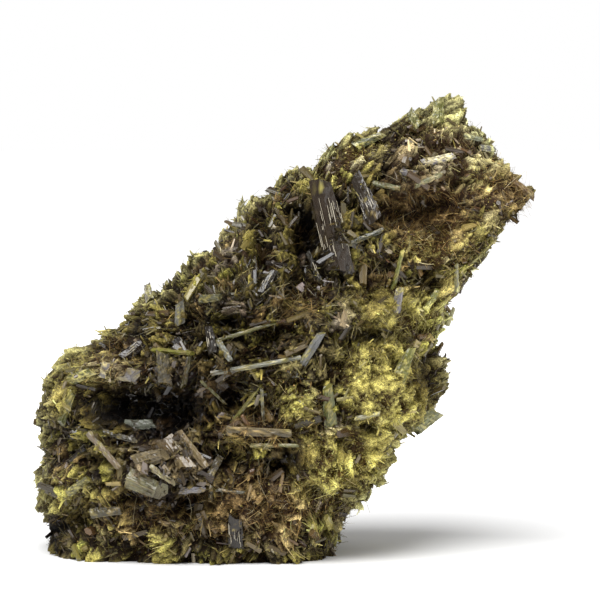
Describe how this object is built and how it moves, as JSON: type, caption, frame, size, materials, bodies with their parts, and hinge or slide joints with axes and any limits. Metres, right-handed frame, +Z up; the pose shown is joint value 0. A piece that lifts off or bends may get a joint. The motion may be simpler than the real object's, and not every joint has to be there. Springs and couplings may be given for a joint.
{
  "type": "epidote crystal cluster",
  "caption": "Loose mineral specimen: a leaning lump of intergrown dark green blades and prisms of epidote with mossy yellow-green crusts, flat underneath.",
  "frame": {"origin": "middle of the object's box on the plane of the flat underside", "axes": "+Z up, +X to the viewer's right when the crystal-rich front is seen, -Y towards that viewer"},
  "size_m": [0.0841, 0.0454, 0.0758],
  "materials": {
    "epidote": "vitreous dark green crystal faces with yellow-green crusts and brown felted hollows"
  },
  "bodies": {
    "root": {"epidote_cluster": "epidote"}
  },
  "joints": []
}
